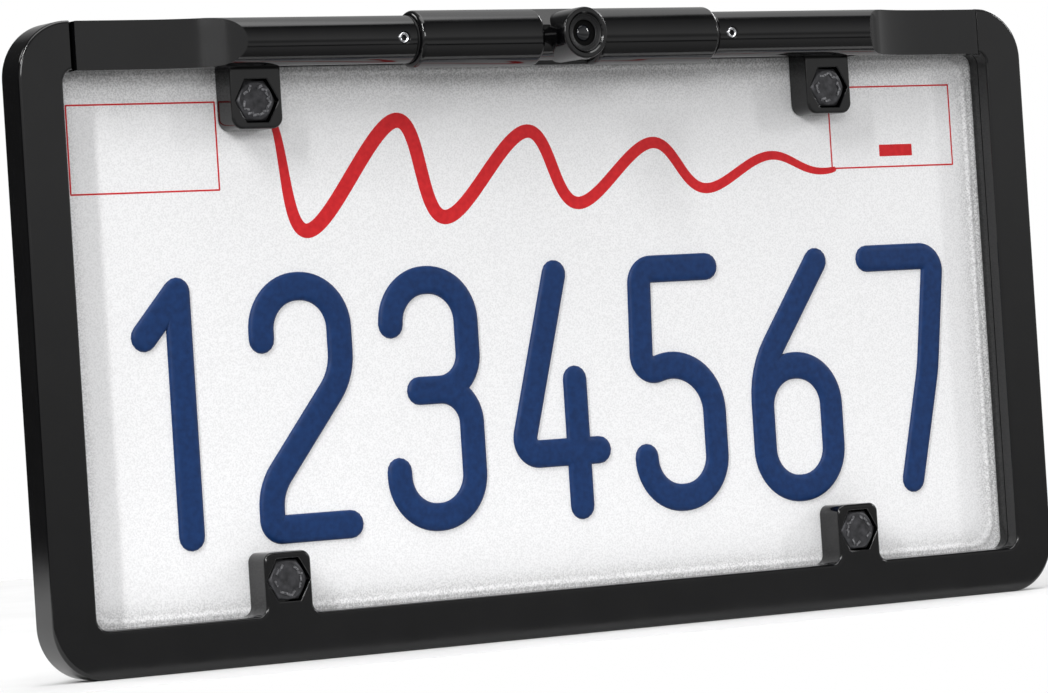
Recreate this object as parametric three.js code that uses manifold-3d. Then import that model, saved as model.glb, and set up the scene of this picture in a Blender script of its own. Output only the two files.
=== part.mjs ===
// A rear-view camera built into a licence plate frame.
// The frame takes a 12 x 6 inch plate in a rebate at its back. Two arms cross its top bar from the corners
// and carry a round barrel between them, which turns about its own axis to tilt the lens up and down.
//
// Units are millimetres. +X is to the right of someone who faces the lens, the lens looks along -Y, +Z is up.
// The origin is the centre of the four mounting bolts, on the back face of the plate.
import * as THREE from "three";
import { mergeVertices } from "three/addons/utils/BufferGeometryUtils.js";
import Module from "manifold-3d";

// ---- Driving dimensions -------------------------------------------------------------------------------

// Licence plate, 12 x 6 inches, with its standard holes.
const PLATE_W = 304.8;
const PLATE_H = 152.4;
const PLATE_T = 1.0;
const PLATE_R = 12;
const HOLE_DX = 177.8 / 2;
const HOLE_DZ = 120.65 / 2;
const SLOT_LENGTH = 11.6;
const SLOT_WIDTH = 7;
const RIM_INSET = 3.2;
const RIM_WIDTH = 3.4;
const RIM_HEIGHT = 0.8;

// Frame casting.
const FRAME_W = 310.2;
const FRAME_H = 162.2;
const FRAME_R = 14;
const FRONT_Y = -9.9;
const REBATE_Y = -2.1;
const REBATE_GAP = 0.4;
const WINDOW_X = 143.1;
const WINDOW_Z = 69;
const WINDOW_R = 3.3;
const SEAT_X = 140.5;
const SEAT_Y = -5.5;

// Bolt tabs, bolts and pockets. The upper tabs stand a little back from the frame's face.
const TAB_END_Z = 53.2;
const TAB_BACK_Y = -1.4;
const UPPER_TAB = { width: 14.6, face: FRONT_Y + 0.8, radius: 3 };
const LOWER_TAB = { width: 13.4, face: FRONT_Y, radius: 2.5 };
const TAB_ROOT_R = 2.5;
const BOLT_FLATS = 10;
const BOLT_HEAD = 4;
const BOLT_R = 3;
const BOLT_LENGTH = 16;
const POCKET_FLATS = 10.9;
const HEAD_RECESS = 0.4;
const BOLT_HOLE_R = 3.3;

// The camera's axis, which is also the centre line of both arms.
const AXIS_Y = -13.5;
const AXIS_Z = 74.7;

// Arms.
const ARM_R = 6.15;
const ARM_START = 46.75;
const ARM_TIP = 96.2;
const ARM_END = SEAT_X - 0.8;
const ARM_BACK_Y = SEAT_Y - 0.1;
const ARM_FACE_RISE = 0.9;
const ARM_BORE_R = 4;
const ARM_BORE_END = ARM_TIP - 6;
const DUCT_R = 2;
const DUCT_SHIFT = 2.4;
const DUCT_END = 103;
const ARM_SCREW_X = [112, 130];
const ARM_THREAD = { radius: 1.6, end: -8.8 };
const SET_SCREW_X = 50.8;

// Barrel and trunnions.
const BARREL_HALF = 46;
const BARREL_R = 7.4;
const RIM_FILLET = 1.2;
const SIDE_BORE_R = 5.6;
const SIDE_BORE_START = 12.6;
const POCKET_HALF = 9;
const POCKET_FOOT = THREE.MathUtils.degToRad(-104);
const NECK_R = 6.1;
const HOOD_ANGLE = THREE.MathUtils.degToRad(48);
const HOOD_DEPTH = 5.73;
const TRUNNION_R = 3.9;
const TRUNNION_END = 57;
const GROOVE_R = 3;

// Lens boss on the barrel, and the rear cover.
const BOSS_R = 6.7;
const BOSS_FRONT_Y = -26.2;
const BOSS_FILLET = 0.8;
const CAVITY_X = 8;
const CAVITY_Z = 4.8;
const CAVITY_FRONT_Y = -16.4;
const LENS_BORE_R = 3.65;
const COUNTERBORE_R = 5.1;
const COUNTERBORE_Y = -24.1;
const COVER_HALF = 12;
const COVER_ANGLE = THREE.MathUtils.degToRad(52);
const COVER_T = 0.9;
const COVER_SCREW_X = 10.2;

// Lens: a barrel of glass behind a shallow dished shroud. The front lens stands just inside the boss's rim.
const SHROUD = { radius: 4.95, front: -25.9, back: -25, mouth: 4.8, throat: 2.6 };
const LENS_BARREL = { radius: 3.5, bore: 2.9, aperture: 2.15, front: -24.7, shoulder: -23.2, back: -13.2 };
const FRONT_LENS = { radius: 2.05, front: -24.7, back: -23.3, frontBulge: 0.65, backBulge: 0 };
const MIDDLE_LENS = { radius: 2.8, front: -22.9, back: -21.3, frontBulge: -0.4, backBulge: -0.3 };
const REAR_LENS = { radius: 2.8, front: -17.5, back: -16.4, frontBulge: 0.3, backBulge: 0.4 };
const SPACER = { inner: 2.2, outer: 2.8, front: -21.1, back: -17.9 };
const RETAINING_RING = { inner: 2, outer: 2.8, front: -15.8, back: -15.1 };
const FILTER = { radius: 2.7, front: -14.8, back: -14.4 };
const LENS_SEAL = { radius: 4.3, section: 0.28 };

// Facets round a whole turn.
const FINE = 36;
const MEDIUM = 24;
const SMALL = 12;

// ---- Materials ----------------------------------------------------------------------------------------

const glossBlack = { color: 0x141414, roughness: 0.18, metalness: 0.1 };
const satinBlack = { color: 0x1c1c1d, roughness: 0.45, metalness: 0.2 };
const matteBlack = { color: 0x0d0d0e, roughness: 0.8, metalness: 0 };
const rubberBlack = { color: 0x111111, roughness: 0.9, metalness: 0 };
const plateWhite = { color: 0xe9e9e9, roughness: 0.35, metalness: 0 };
const brightSteel = { color: 0xc9cacc, roughness: 0.25, metalness: 1 };
const acetalBlack = { color: 0x161617, roughness: 0.5, metalness: 0 };
const nylonWhite = { color: 0xd8d6cf, roughness: 0.5, metalness: 0 };
const clearGlass = { color: 0x2a3340, roughness: 0.03, metalness: 0 };
const boardGreen = { color: 0x1d5a35, roughness: 0.5, metalness: 0 };
const chipDark = { color: 0x202226, roughness: 0.3, metalness: 0.2 };

// ---- Solids -------------------------------------------------------------------------------------------

const wasm = await Module();
wasm.setup();

// A closed three.js geometry as a solid for cutting and joining.
function solid(geometry) {
  const bare = geometry.clone();
  bare.deleteAttribute("normal");
  bare.deleteAttribute("uv");
  bare.clearGroups();
  const merged = mergeVertices(bare, 1e-4);
  const corners = Array.from(merged.index.array);
  const faces = [];
  for (let i = 0; i < corners.length; i += 3) {
    const [a, b, c] = corners.slice(i, i + 3);
    if (a !== b && b !== c && c !== a) faces.push(a, b, c);
  }
  const vertProperties = merged.attributes.position.array;
  const triVerts = new Uint32Array(faces);
  return new wasm.Manifold(new wasm.Mesh({ numProp: 3, vertProperties, triVerts }));
}

function join(first, ...others) {
  return others.reduce((whole, piece) => whole.add(piece), first);
}

function cut(whole, ...tools) {
  return tools.reduce((left, tool) => left.subtract(tool), whole);
}

const camera = new THREE.Group();
const rearviewCamera = new THREE.Group();
rearviewCamera.name = "plate_frame_camera";
rearviewCamera.add(camera);

// Adds one finished solid to a group as a named mesh.
function part(name, shape, look, group = rearviewCamera) {
  const { numProp, vertProperties, triVerts } = shape.getMesh();
  const geometry = new THREE.BufferGeometry();
  geometry.setAttribute("position", new THREE.BufferAttribute(vertProperties, numProp));
  geometry.setIndex(new THREE.BufferAttribute(triVerts, 1));
  geometry.computeVertexNormals();
  const mesh = new THREE.Mesh(geometry, new THREE.MeshStandardMaterial({ ...look, flatShading: true }));
  mesh.name = name;
  group.add(mesh);
  return mesh;
}

// A block between two X, two Y and two Z values, in either order.
function block(xs, ys, zs) {
  const size = [xs, ys, zs].map(([a, b]) => Math.abs(b - a));
  const middle = [xs, ys, zs].map(([a, b]) => (a + b) / 2);
  return solid(new THREE.BoxGeometry(...size).translate(...middle));
}

// A cylinder along X, between two X values.
function rodX(radius, [x0, x1], y, z, facets = FINE) {
  const rod = new THREE.CylinderGeometry(radius, radius, Math.abs(x1 - x0), facets);
  return solid(rod.rotateZ(-Math.PI / 2).translate((x0 + x1) / 2, y, z));
}

// A cylinder along Y, between two Y values.
function rodY(radius, [y0, y1], x, z, facets = SMALL) {
  const rod = new THREE.CylinderGeometry(radius, radius, Math.abs(y1 - y0), facets);
  return solid(rod.translate(x, (y0 + y1) / 2, z));
}

// A shape drawn in the XZ plane, as a plate between two Y values.
function plateY(shape, [y0, y1], curveSegments = 4) {
  const options = { depth: Math.abs(y1 - y0), bevelEnabled: false, curveSegments };
  const body = new THREE.ExtrudeGeometry(shape, options);
  return solid(body.rotateX(Math.PI / 2).translate(0, Math.max(y0, y1), 0));
}

// A shape drawn in the YZ plane, as a bar between two X values.
function barX(shape, [x0, x1], curveSegments = 12) {
  const options = { depth: Math.abs(x1 - x0), bevelEnabled: false, curveSegments };
  const body = new THREE.ExtrudeGeometry(shape, options);
  const turn = new THREE.Matrix4().makeBasis(
    new THREE.Vector3(0, 1, 0),
    new THREE.Vector3(0, 0, 1),
    new THREE.Vector3(1, 0, 0),
  );
  return solid(body.applyMatrix4(turn).translate(Math.min(x0, x1), 0, 0));
}

// A lathe body with its faces outwards, whichever way round its profile runs.
function turned(profile, facets) {
  const points = profile.map(([radius, along]) => new THREE.Vector2(radius, along));
  const body = new THREE.LatheGeometry(points, facets);
  return solid(body).volume() > 0 ? body : new THREE.LatheGeometry(points.reverse(), facets);
}

// A turned piece about a line along Y through X = 0 and the camera axis. Each profile point is [radius, Y].
function turnedY(profile, facets = MEDIUM) {
  return solid(turned(profile, facets).translate(0, 0, AXIS_Z));
}

// A turned piece about the camera axis. Each profile point is [radius, X].
function turnedX(profile, facets = FINE) {
  return solid(turned(profile, facets).rotateZ(-Math.PI / 2).translate(0, AXIS_Y, AXIS_Z));
}

// Points on a quarter turn of a fillet, as [radius, place] pairs.
function fillet(radius, place, size, from, to, steps = 3) {
  return Array.from({ length: steps + 1 }, (_, i) => {
    const angle = THREE.MathUtils.degToRad(from + ((to - from) * i) / steps);
    return [radius + size * Math.cos(angle), place + size * Math.sin(angle)];
  });
}

function roundedRectangle(width, height, radius, x = 0, z = 0) {
  const [right, top] = [width / 2 - radius, height / 2 - radius];
  const quarter = Math.PI / 2;
  const shape = new THREE.Shape();
  shape.absarc(x + right, z - top, radius, -quarter, 0, false);
  shape.absarc(x + right, z + top, radius, 0, quarter, false);
  shape.absarc(x - right, z + top, radius, quarter, 2 * quarter, false);
  shape.absarc(x - right, z - top, radius, 2 * quarter, 3 * quarter, false);
  return shape;
}

// A hexagon with flats at its top and bottom.
function hexagon(acrossFlats, x, z) {
  const radius = acrossFlats / Math.sqrt(3);
  const corners = Array.from({ length: 6 }, (_, i) => {
    const angle = (i * Math.PI) / 3;
    return new THREE.Vector2(x + radius * Math.cos(angle), z + radius * Math.sin(angle));
  });
  return new THREE.Shape(corners);
}

const boltPlaces = [
  { name: "upper_left", x: -HOLE_DX, z: HOLE_DZ, tab: UPPER_TAB },
  { name: "upper_right", x: HOLE_DX, z: HOLE_DZ, tab: UPPER_TAB },
  { name: "lower_left", x: -HOLE_DX, z: -HOLE_DZ, tab: LOWER_TAB },
  { name: "lower_right", x: HOLE_DX, z: -HOLE_DZ, tab: LOWER_TAB },
];
const sides = [
  { name: "left", sign: -1 },
  { name: "right", sign: 1 },
];

// ---- Frame casting ------------------------------------------------------------------------------------

const CABLE_X = 101;
const GLAND = { halfWidth: 2.3, low: 77, high: 80.4 };

// One tab: a rounded tongue from the window's edge to past the bolt, with a fillet each side at its root.
function tabBlank({ x, z, tab }) {
  const up = Math.sign(z);
  const half = tab.width / 2;
  const reach = WINDOW_Z + 0.4;
  const height = reach - TAB_END_Z + tab.radius;
  const middle = up * (TAB_END_Z + height / 2);
  const tongue = roundedRectangle(tab.width, height, tab.radius, x, middle);
  const ends = [tab.face, TAB_BACK_Y];
  const blank = cut(plateY(tongue, ends), block([x - 10, x + 10], [-12, 1], [up * reach, up * (reach + 5)]));
  if (up > 0) return blank;
  const [r, level] = [TAB_ROOT_R, TAB_ROOT_R - WINDOW_Z];
  const root = block([x - half - r, x + half + r], ends, [-reach, level]);
  const hollows = [-1, 1].map((side) => rodY(r, [-12, 1], x + side * (half + r), level, MEDIUM));
  return join(blank, cut(root, ...hollows));
}

function frameCasting() {
  const outer = plateY(roundedRectangle(FRAME_W, FRAME_H, FRAME_R), [FRONT_Y, 0], 6);
  const window = plateY(roundedRectangle(2 * WINDOW_X, 2 * WINDOW_Z, WINDOW_R), [FRONT_Y - 1, 1], 4);
  const rebateW = PLATE_W + 2 * REBATE_GAP;
  const rebateH = PLATE_H + 2 * REBATE_GAP;
  const rebate = plateY(roundedRectangle(rebateW, rebateH, PLATE_R + REBATE_GAP), [REBATE_Y, 1], 5);
  const seat = block([-SEAT_X, SEAT_X], [FRONT_Y - 1, SEAT_Y], [WINDOW_Z - 0.01, FRAME_H]);
  const ring = cut(outer, window, rebate, seat);
  const withTabs = join(ring, ...boltPlaces.map((place) => cut(tabBlank(place), seat)));
  const pockets = boltPlaces.map(({ x, z, tab }) => {
    const floor = tab.face + HEAD_RECESS + BOLT_HEAD;
    return plateY(hexagon(POCKET_FLATS, x, z), [tab.face - 1, floor]);
  });
  const holes = boltPlaces.map(({ x, z }) => rodY(BOLT_HOLE_R, [-12, 1], x, z));
  const armHoles = sides.flatMap(({ sign }) =>
    ARM_SCREW_X.flatMap((x) => {
      const countersink = new THREE.CylinderGeometry(3, 1.6, 1.5, SMALL);
      const clearance = rodY(1.7, [-12, 1], sign * x, AXIS_Z);
      return [clearance, solid(countersink.translate(sign * x, REBATE_Y - 0.74, AXIS_Z))];
    }),
  );
  const glandSlot = block(
    [CABLE_X - GLAND.halfWidth, CABLE_X + GLAND.halfWidth],
    [SEAT_Y - 1, 1],
    [PLATE_H / 2, GLAND.high + 0.1],
  );
  return cut(withTabs, ...pockets, ...holes, ...armHoles, glandSlot);
}

part("frame_casting", frameCasting(), glossBlack);

// ---- Licence plate ------------------------------------------------------------------------------------

function licencePlate() {
  const sheet = plateY(roundedRectangle(PLATE_W, PLATE_H, PLATE_R), [-PLATE_T, 0], 5);
  const rimW = PLATE_W - 2 * RIM_INSET;
  const rimH = PLATE_H - 2 * RIM_INSET;
  const raised = [-PLATE_T - RIM_HEIGHT, -PLATE_T + 0.3];
  const rim = cut(
    plateY(roundedRectangle(rimW, rimH, PLATE_R - RIM_INSET), raised, 5),
    plateY(
      roundedRectangle(rimW - 2 * RIM_WIDTH, rimH - 2 * RIM_WIDTH, PLATE_R - RIM_INSET - RIM_WIDTH),
      [raised[0] - 1, 1],
      5,
    ),
  );
  const slots = boltPlaces.map(({ x, z }) =>
    plateY(roundedRectangle(SLOT_LENGTH, SLOT_WIDTH, SLOT_WIDTH / 2, x, z), [-5, 1], 4),
  );
  return cut(join(sheet, rim), ...slots);
}

part("licence_plate", licencePlate(), plateWhite);

// ---- Plate bolts --------------------------------------------------------------------------------------

boltPlaces.forEach(({ name, x, z, tab }) => {
  const top = tab.face + HEAD_RECESS;
  const underHead = top + BOLT_HEAD - 0.1;
  const head = plateY(hexagon(BOLT_FLATS, x, z), [top, underHead]);
  const shank = rodY(BOLT_R, [underHead - 1, underHead + BOLT_LENGTH], x, z);
  part("plate_bolt_" + name, join(head, shank), satinBlack);
});

// ---- Arms ---------------------------------------------------------------------------------------------

// How far an arm's front face stands out from the frame's face at a distance x from the middle. The face is
// nearly level by the corner of the frame and sweeps up to the front of the round part at its tip.
function faceRise(x) {
  const share = (ARM_END - x) / (ARM_END - ARM_TIP);
  const fullRise = FRONT_Y - (AXIS_Y - ARM_R);
  return ARM_FACE_RISE + (fullRise - ARM_FACE_RISE) * share ** 5;
}

function arm({ name, sign }) {
  const section = new THREE.Shape();
  section.moveTo(ARM_BACK_Y, AXIS_Z - ARM_R);
  section.lineTo(AXIS_Y, AXIS_Z - ARM_R);
  section.absarc(AXIS_Y, AXIS_Z, ARM_R, -Math.PI / 2, Math.PI / 2, true);
  section.lineTo(ARM_BACK_Y, AXIS_Z + ARM_R);
  const shoulder = barX(section, [sign * ARM_TIP, sign * ARM_END], FINE / 2);
  const steps = 14;
  const sweep = Array.from({ length: steps + 1 }, (_, i) => {
    const x = ARM_TIP + (ARM_END - ARM_TIP) * (i / steps) ** 1.5;
    return new THREE.Vector2(sign * x, FRONT_Y - faceRise(x));
  });
  const outline = [
    new THREE.Vector2(sign * ARM_TIP, -30),
    ...sweep,
    new THREE.Vector2(sign * (ARM_END + 1), FRONT_Y - faceRise(ARM_END)),
    new THREE.Vector2(sign * (ARM_END + 1), -30),
  ];
  const scoop = new THREE.ExtrudeGeometry(new THREE.Shape(outline), { depth: 40, bevelEnabled: false });
  const swept = cut(shoulder, solid(scoop.translate(0, 0, AXIS_Z - 20)));
  const tube = rodX(ARM_R, [sign * ARM_START, sign * (ARM_TIP + 0.01)], AXIS_Y, AXIS_Z);
  const bore = rodX(ARM_BORE_R, [sign * (ARM_START - 1), sign * ARM_BORE_END], AXIS_Y, AXIS_Z);
  const duct = rodX(DUCT_R, [sign * (ARM_BORE_END - 1), sign * DUCT_END], AXIS_Y + DUCT_SHIFT, AXIS_Z, SMALL);
  const setScrewHole = rodY(1.62, [AXIS_Y - 8, AXIS_Y], sign * SET_SCREW_X, AXIS_Z);
  const threads = ARM_SCREW_X.map((x) => rodY(ARM_THREAD.radius, [ARM_THREAD.end, 0], sign * x, AXIS_Z));
  const made = cut(join(swept, tube), bore, duct, setScrewHole, ...threads);
  if (name === "left") return made;
  const outlet = new THREE.CylinderGeometry(1.5, 1.5, 10, SMALL);
  outlet.rotateX(THREE.MathUtils.degToRad(32));
  return cut(made, solid(outlet.translate(CABLE_X, AXIS_Y + 5.4, AXIS_Z + 2.6)));
}

sides.forEach((side) => {
  const { name, sign } = side;
  part("arm_" + name, arm(side), glossBlack);
  ARM_SCREW_X.forEach((x, i) => {
    const head = new THREE.CylinderGeometry(2.8, 1.5, 1.3, SMALL);
    const top = REBATE_Y - 0.15;
    const screw = join(
      solid(head.translate(sign * x, top - 0.65, AXIS_Z)),
      rodY(ARM_THREAD.radius - 0.1, [top - 1, ARM_THREAD.end + 0.3], sign * x, AXIS_Z),
    );
    part("arm_screw_" + name + "_" + (i + 1), screw, brightSteel);
  });
});

// The rubber gland that the camera's cable leaves by, at the back of the right arm.
const glandBlock = block(
  [CABLE_X - GLAND.halfWidth + 0.15, CABLE_X + GLAND.halfWidth - 0.15],
  [SEAT_Y + 0.2, -0.3],
  [GLAND.low, GLAND.high],
);
const glandHole = rodY(1.1, [SEAT_Y - 1, 1], CABLE_X, (GLAND.low + GLAND.high) / 2);
part("cable_gland", cut(glandBlock, glandHole), rubberBlack);

// ---- Tilt lock: washers and set screws ----------------------------------------------------------------

sides.forEach(({ name, sign }) => {
  const washer = cut(
    rodX(6, [sign * (BARREL_HALF + 0.15), sign * (ARM_START - 0.15)], AXIS_Y, AXIS_Z),
    rodX(4.05, [sign * (BARREL_HALF - 1), sign * (ARM_START + 1)], AXIS_Y, AXIS_Z),
  );
  part("thrust_washer_" + name, washer, acetalBlack);

  const face = AXIS_Y - ARM_R + 0.15;
  const tip = AXIS_Y - GROOVE_R - 0.1;
  const body = rodY(1.45, [face, tip - 0.5], sign * SET_SCREW_X, AXIS_Z);
  const point = new THREE.CylinderGeometry(0.9, 1.45, 0.5, SMALL);
  const socket = plateY(hexagon(1.5, sign * SET_SCREW_X, AXIS_Z), [face - 1, face + 1.3]);
  const screw = cut(join(body, solid(point.translate(sign * SET_SCREW_X, tip - 0.25, AXIS_Z))), socket);
  part("set_screw_" + name, screw, brightSteel);
});

// ---- Camera barrel ------------------------------------------------------------------------------------

// A ring sector in the YZ plane, opening to the back of the barrel.
function rearSector(inner, outer, halfAngle) {
  const sector = new THREE.Shape();
  sector.absarc(AXIS_Y, AXIS_Z, outer, -halfAngle, halfAngle, false);
  sector.absarc(AXIS_Y, AXIS_Z, inner, halfAngle, -halfAngle, true);
  return sector;
}

// A point in the YZ plane at an angle above the front of the camera's axis.
function onBarrel(radius, angle) {
  return [AXIS_Y - radius * Math.cos(angle), AXIS_Z + radius * Math.sin(angle)];
}

// The section between the two sleeves: a flat hood from the top down to a thinner neck, and the full round
// from the pocket's foot to the back.
function neckSection() {
  const hoodTop = HOOD_ANGLE + Math.acos(HOOD_DEPTH / BARREL_R);
  const hoodFoot = HOOD_ANGLE - Math.acos(HOOD_DEPTH / NECK_R);
  const section = new THREE.Shape();
  section.moveTo(...onBarrel(BARREL_R, hoodTop));
  section.lineTo(...onBarrel(NECK_R, hoodFoot));
  section.absarc(AXIS_Y, AXIS_Z, NECK_R, Math.PI - hoodFoot, Math.PI - POCKET_FOOT, false);
  section.absarc(AXIS_Y, AXIS_Z, BARREL_R, Math.PI - POCKET_FOOT, 3 * Math.PI - hoodTop, false);
  return section;
}

function barrelHousing() {
  const shoulder = BARREL_R - RIM_FILLET;
  const blank = turnedX([
    [0, -BARREL_HALF],
    ...fillet(shoulder, -BARREL_HALF + RIM_FILLET, RIM_FILLET, -90, 0),
    ...fillet(shoulder, BARREL_HALF - RIM_FILLET, RIM_FILLET, 0, 90),
    [0, BARREL_HALF],
  ]);
  const gap = block([-POCKET_HALF, POCKET_HALF], [AXIS_Y - 9, AXIS_Y + 9], [AXIS_Z - 9, AXIS_Z + 9]);
  const neck = barX(neckSection(), [-POCKET_HALF - 0.01, POCKET_HALF + 0.01]);
  const bossRim = fillet(BOSS_R - BOSS_FILLET, BOSS_FRONT_Y + BOSS_FILLET, BOSS_FILLET, -90, 0);
  const boss = turnedY([[0, BOSS_FRONT_Y], ...bossRim, [BOSS_R, AXIS_Y], [0, AXIS_Y]], FINE);
  const sideBores = sides.map(({ sign }) =>
    rodX(SIDE_BORE_R, [sign * SIDE_BORE_START, sign * (BARREL_HALF + 1)], AXIS_Y, AXIS_Z),
  );
  const seatSection = rearSector(BARREL_R - COVER_T - 0.1, BARREL_R + 2, COVER_ANGLE + 0.03);
  const screwHoles = sides.map(({ sign }) => rodY(0.95, [AXIS_Y + 2.6, 0], sign * COVER_SCREW_X, AXIS_Z));
  return cut(
    join(cut(blank, gap), neck, boss),
    ...sideBores,
    block([-CAVITY_X, CAVITY_X], [CAVITY_FRONT_Y, 0], [AXIS_Z - CAVITY_Z, AXIS_Z + CAVITY_Z]),
    barX(seatSection, [-COVER_HALF - 0.2, COVER_HALF + 0.2]),
    rodX(1.8, [-SIDE_BORE_START - 1, SIDE_BORE_START + 1], AXIS_Y + 2.5, AXIS_Z, SMALL),
    rodY(LENS_BORE_R, [BOSS_FRONT_Y - 1, CAVITY_FRONT_Y + 1], 0, AXIS_Z, MEDIUM),
    rodY(COUNTERBORE_R, [BOSS_FRONT_Y - 1, COUNTERBORE_Y], 0, AXIS_Z, FINE),
    ...screwHoles,
  );
}

part("barrel_housing", barrelHousing(), glossBlack, camera);

const coverHoles = sides.map(({ sign }) => rodY(1.7, [AXIS_Y + 3, 0], sign * COVER_SCREW_X, AXIS_Z));
const coverBlank = barX(rearSector(BARREL_R - COVER_T, BARREL_R, COVER_ANGLE), [-COVER_HALF, COVER_HALF]);
part("rear_cover", cut(coverBlank, ...coverHoles), glossBlack, camera);

sides.forEach(({ name, sign }) => {
  const back = AXIS_Y + BARREL_R - 0.1;
  const screw = join(
    rodY(1.55, [back, back - 0.75], sign * COVER_SCREW_X, AXIS_Z),
    rodY(0.85, [back - 0.5, AXIS_Y + 3], sign * COVER_SCREW_X, AXIS_Z),
  );
  part("cover_screw_" + name, screw, satinBlack, camera);

  // Trunnion: a plug in the barrel's end, and a hollow journal in the arm with a groove for the set screw.
  const trunnion = turnedX([
    [1.6, sign * 40.8],
    [SIDE_BORE_R - 0.15, sign * 40.8],
    [SIDE_BORE_R - 0.15, sign * (BARREL_HALF - 0.3)],
    [TRUNNION_R, sign * (BARREL_HALF - 0.3)],
    [TRUNNION_R, sign * (SET_SCREW_X - 1.7)],
    [GROOVE_R, sign * (SET_SCREW_X - 1.5)],
    [GROOVE_R, sign * (SET_SCREW_X + 1.5)],
    [TRUNNION_R, sign * (SET_SCREW_X + 1.7)],
    [TRUNNION_R, sign * (TRUNNION_END - 0.5)],
    [TRUNNION_R - 0.5, sign * TRUNNION_END],
    [1.6, sign * TRUNNION_END],
    [1.6, sign * 40.8],
  ], MEDIUM);
  part("trunnion_" + name, trunnion, satinBlack, camera);

  const seal = cut(
    rodX(SIDE_BORE_R - 0.1, [sign * 39.4, sign * 40.7], AXIS_Y, AXIS_Z),
    rodX(3.6, [sign * 38, sign * 42], AXIS_Y, AXIS_Z),
  );
  part("barrel_seal_" + name, seal, rubberBlack, camera);
});

// ---- Lens and electronics -----------------------------------------------------------------------------

// A plain ring about the lens axis.
function ringY({ inner, outer, front, back }) {
  return turnedY([[inner, front], [outer, front], [outer, back], [inner, back], [inner, front]]);
}

// A round lens: its front and back bulge (or hollow, if negative) by the sizes given.
function lensBody({ radius, front, back, frontBulge, backBulge }) {
  const steps = [0, 0.35, 0.7, 1];
  const frontFace = steps.map((s) => [radius * s, front - frontBulge * (1 - s * s)]);
  const backFace = steps.map((s) => [radius * s, back + backBulge * (1 - s * s)]);
  return turnedY([...frontFace, ...backFace.reverse()]);
}

const shroud = turnedY([
  [SHROUD.mouth, SHROUD.front],
  [SHROUD.radius, SHROUD.front],
  [SHROUD.radius, SHROUD.back],
  [SHROUD.throat, SHROUD.back],
  [SHROUD.mouth, SHROUD.front],
], FINE);
part("lens_shroud", shroud, matteBlack, camera);

const sealY = COUNTERBORE_Y - LENS_SEAL.section - 0.05;
const sealProfile = Array.from({ length: 9 }, (_, i) => {
  const angle = (i * Math.PI) / 4;
  const { radius, section } = LENS_SEAL;
  return [radius + section * Math.cos(angle), sealY + section * Math.sin(angle)];
});
part("lens_seal", turnedY(sealProfile), rubberBlack, camera);

const lensBarrel = turnedY([
  [LENS_BARREL.aperture, LENS_BARREL.front],
  [LENS_BARREL.radius, LENS_BARREL.front],
  [LENS_BARREL.radius, LENS_BARREL.back],
  [LENS_BARREL.bore, LENS_BARREL.back],
  [LENS_BARREL.bore, LENS_BARREL.shoulder],
  [LENS_BARREL.aperture, LENS_BARREL.shoulder],
  [LENS_BARREL.aperture, LENS_BARREL.front],
]);
part("lens_barrel", lensBarrel, matteBlack, camera);
part("front_lens", lensBody(FRONT_LENS), clearGlass, camera);
part("middle_lens", lensBody(MIDDLE_LENS), clearGlass, camera);
part("lens_spacer", ringY(SPACER), matteBlack, camera);
part("rear_lens", lensBody(REAR_LENS), clearGlass, camera);
part("lens_retaining_ring", ringY(RETAINING_RING), satinBlack, camera);
part("infrared_filter", rodY(FILTER.radius, [FILTER.front, FILTER.back], 0, AXIS_Z), clearGlass, camera);

const above = (half) => [AXIS_Z - half, AXIS_Z + half];
const holderBlank = join(
  block([-5.5, 5.5], [-16.2, -11.6], above(4.6)),
  block([-7.4, 7.4], [-12.9, -11.6], above(4.6)),
);
const holderScrewHoles = sides.map(({ sign }) => rodY(0.9, [-14, 0], sign * 6.4, AXIS_Z));
const holder = cut(
  holderBlank,
  rodY(LENS_BORE_R, [-17, -12.9], 0, AXIS_Z, MEDIUM),
  block([-3.6, 3.6], [-13.05, -11], above(3.2)),
  ...holderScrewHoles,
);
part("lens_holder", holder, matteBlack, camera);
part("image_sensor", block([-2.9, 2.9], [-12.6, -11.5], above(2.4)), chipDark, camera);
const board = cut(block([-7.4, 7.4], [-11.4, -10.4], above(4.5)), ...holderScrewHoles);
part("circuit_board", board, boardGreen, camera);
part("cable_connector", block([-3, 3], [-10.2, -8.4], above(1.6)), nylonWhite, camera);
sides.forEach(({ name, sign }) => {
  const screw = join(
    rodY(1.5, [-10.3, -9.4], sign * 6.2, AXIS_Z),
    rodY(0.75, [-9.6, -12.7], sign * 6.4, AXIS_Z),
  );
  part("board_screw_" + name, screw, brightSteel, camera);
});

export default rearviewCamera;
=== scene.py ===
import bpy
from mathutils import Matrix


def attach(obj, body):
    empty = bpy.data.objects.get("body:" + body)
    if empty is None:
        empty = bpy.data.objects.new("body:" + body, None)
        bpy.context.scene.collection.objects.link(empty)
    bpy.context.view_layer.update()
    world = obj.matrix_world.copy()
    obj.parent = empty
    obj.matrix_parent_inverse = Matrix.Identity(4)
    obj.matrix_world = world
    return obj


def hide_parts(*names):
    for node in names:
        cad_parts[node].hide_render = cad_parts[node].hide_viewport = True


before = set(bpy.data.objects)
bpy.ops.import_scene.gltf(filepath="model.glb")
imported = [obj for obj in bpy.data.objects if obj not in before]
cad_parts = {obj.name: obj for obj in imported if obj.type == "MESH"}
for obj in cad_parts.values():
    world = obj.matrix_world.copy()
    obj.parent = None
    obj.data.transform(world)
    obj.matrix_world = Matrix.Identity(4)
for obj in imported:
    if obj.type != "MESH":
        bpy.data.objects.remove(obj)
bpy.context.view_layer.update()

from math import acos, asin, atan2, cos, degrees, dist, pi, radians, sin, sqrt, tan

import bmesh
import bpy
from mathutils import Quaternion, Vector

# A licence plate frame with a camera barrel in its top bar. Sizes here are millimetres: +X to the right of
# someone who faces the lens, -Y to the front, +Z up. piece() turns them to metres.
MM = 0.001

# ---- Camera and light ----

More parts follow.
